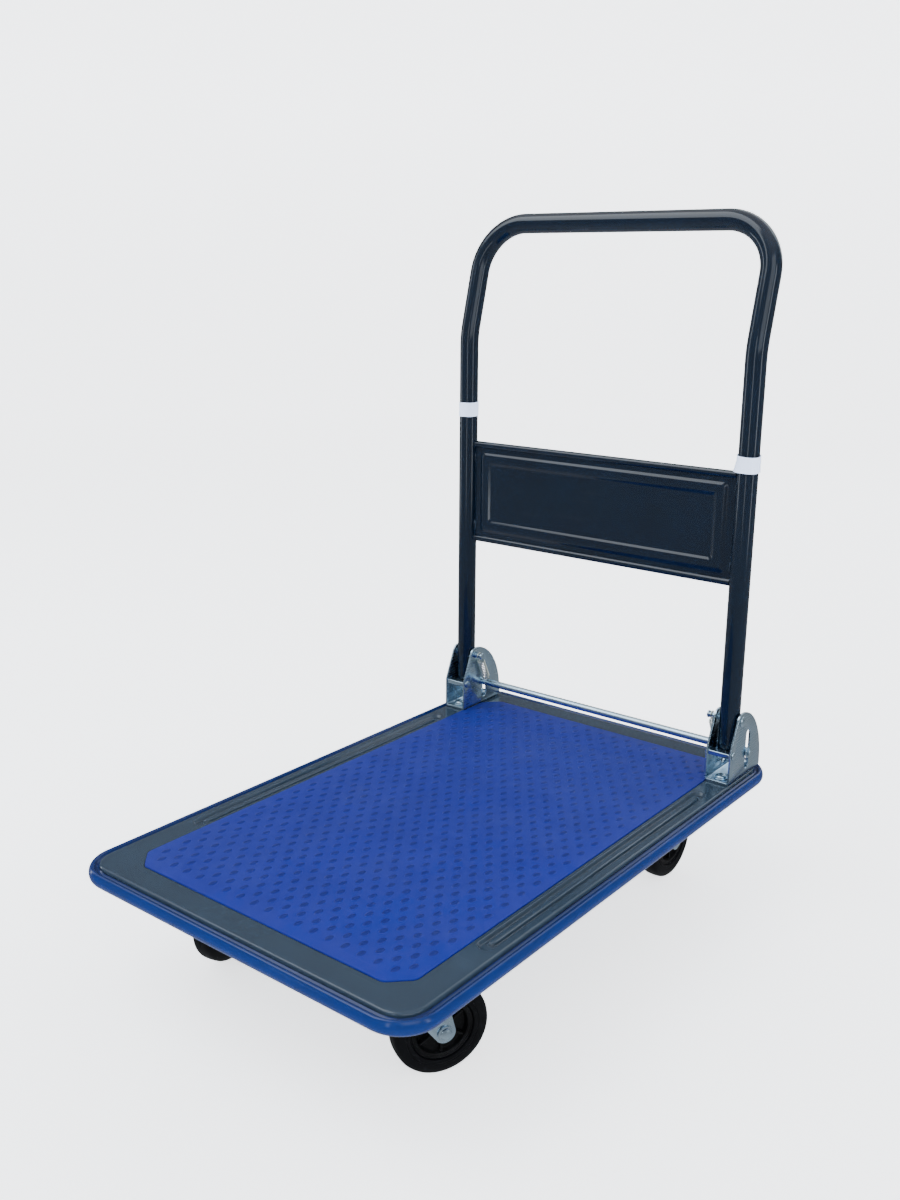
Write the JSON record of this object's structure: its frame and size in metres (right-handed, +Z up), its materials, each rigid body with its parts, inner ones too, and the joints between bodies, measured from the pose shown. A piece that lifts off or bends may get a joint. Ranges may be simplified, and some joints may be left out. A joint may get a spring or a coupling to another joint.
{
  "type": "folding platform cart",
  "caption": "Pressed-steel platform cart with a blue mat and rubber edge, a fold-down tube handle with a back panel, foot release rod, swivel and rigid casters.",
  "frame": {"origin": "on the floor under the middle of the deck", "axes": "+Z up, +X across the deck to the right of someone behind the open end looking at the handle, +Y towards the handle"},
  "size_m": [0.4754, 0.7344, 0.8316],
  "materials": {
    "deck_paint": "satin slate-grey powder coat",
    "blue_pvc": "matt embossed blue PVC",
    "bumper_pvc": "glossy blue extruded PVC",
    "handle_paint": "glossy near-black navy paint",
    "zinc": "bright bluish zinc plating",
    "white_tape": "white packing tape",
    "tyre_rubber": "black solid rubber",
    "hub_plastic": "black moulded plastic"
  },
  "bodies": {
    "deck": {"deck_pan": "deck_paint", "deck_mat": "blue_pvc", "edge_bumper": "bumper_pvc", "cross_channel_front": "deck_paint", "cross_channel_rear": "deck_paint", "long_channel_left": "deck_paint", "long_channel_right": "deck_paint", "hinge_bracket_left": "zinc", "stop_bar_left": "zinc", "pivot_pin_left": "zinc", "return_spring_left": "zinc", "bracket_bolt_left_front": "zinc", "bracket_bolt_left_rear": "zinc", "swivel_plate_left": "zinc", "ball_race_left": "zinc", "kingpin_left": "zinc", "fork_rear_left": "zinc", "axle_bolt_rear_left": "zinc", "axle_nut_rear_left": "zinc", "hinge_bracket_right": "zinc", "stop_bar_right": "zinc", "pivot_pin_right": "zinc", "return_spring_right": "zinc", "bracket_bolt_right_front": "zinc", "bracket_bolt_right_rear": "zinc", "swivel_plate_right": "zinc", "ball_race_right": "zinc", "kingpin_right": "zinc", "fork_rear_right": "zinc", "axle_bolt_rear_right": "zinc", "axle_nut_rear_right": "zinc"},
    "handle": {"handle_tube": "handle_paint", "back_panel": "handle_paint", "tape_band_left": "white_tape", "tape_band_right": "white_tape"},
    "release_rod": {"release_rod": "zinc", "rod_washer_left": "zinc", "rod_washer_right": "zinc"},
    "swivel_left": {"fork_front_left": "zinc", "axle_bolt_front_left": "zinc", "axle_nut_front_left": "zinc"},
    "wheel_front_left": {"tyre_front_left": "tyre_rubber", "hub_front_left": "hub_plastic"},
    "wheel_rear_left": {"tyre_rear_left": "tyre_rubber", "hub_rear_left": "hub_plastic"},
    "swivel_right": {"fork_front_right": "zinc", "axle_bolt_front_right": "zinc", "axle_nut_front_right": "zinc"},
    "wheel_front_right": {"tyre_front_right": "tyre_rubber", "hub_front_right": "hub_plastic"},
    "wheel_rear_right": {"tyre_rear_right": "tyre_rubber", "hub_rear_right": "hub_plastic"}
  },
  "joints": [
    {"name": "handle_fold", "type": "hinge", "parent": "deck", "child": "handle", "pos_m": [0, 0.286, 0.224], "axis": [1, 0, 0], "range_deg": [0, 90]},
    {"name": "rod_press", "type": "slide", "parent": "deck", "child": "release_rod", "axis": [0, 0, -1], "range_m": [0, 0.0165], "stiffness_N_per_m": 1500, "springref_m": -0.005, "deforming": ["return_spring_left", "return_spring_right"]},
    {"name": "swivel_left", "type": "hinge", "parent": "deck", "child": "swivel_left", "pos_m": [-0.146, -0.261, 0.116], "axis": [0, 0, 1], "continuous": true},
    {"name": "roll_front_left", "type": "hinge", "parent": "swivel_left", "child": "wheel_front_left", "pos_m": [-0.1523, -0.22861, 0.05], "axis": [0.9816, 0.1908, 0], "continuous": true},
    {"name": "roll_rear_left", "type": "hinge", "parent": "deck", "child": "wheel_rear_left", "pos_m": [-0.141, 0.261, 0.05], "axis": [1, 0, 0], "continuous": true},
    {"name": "swivel_right", "type": "hinge", "parent": "deck", "child": "swivel_right", "pos_m": [0.146, -0.261, 0.116], "axis": [0, 0, 1], "continuous": true},
    {"name": "roll_front_right", "type": "hinge", "parent": "swivel_right", "child": "wheel_front_right", "pos_m": [0.16149, -0.23186, 0.05], "axis": [0.8829, -0.4695, 0], "continuous": true},
    {"name": "roll_rear_right", "type": "hinge", "parent": "deck", "child": "wheel_rear_right", "pos_m": [0.141, 0.261, 0.05], "axis": [1, 0, 0], "continuous": true}
  ]
}
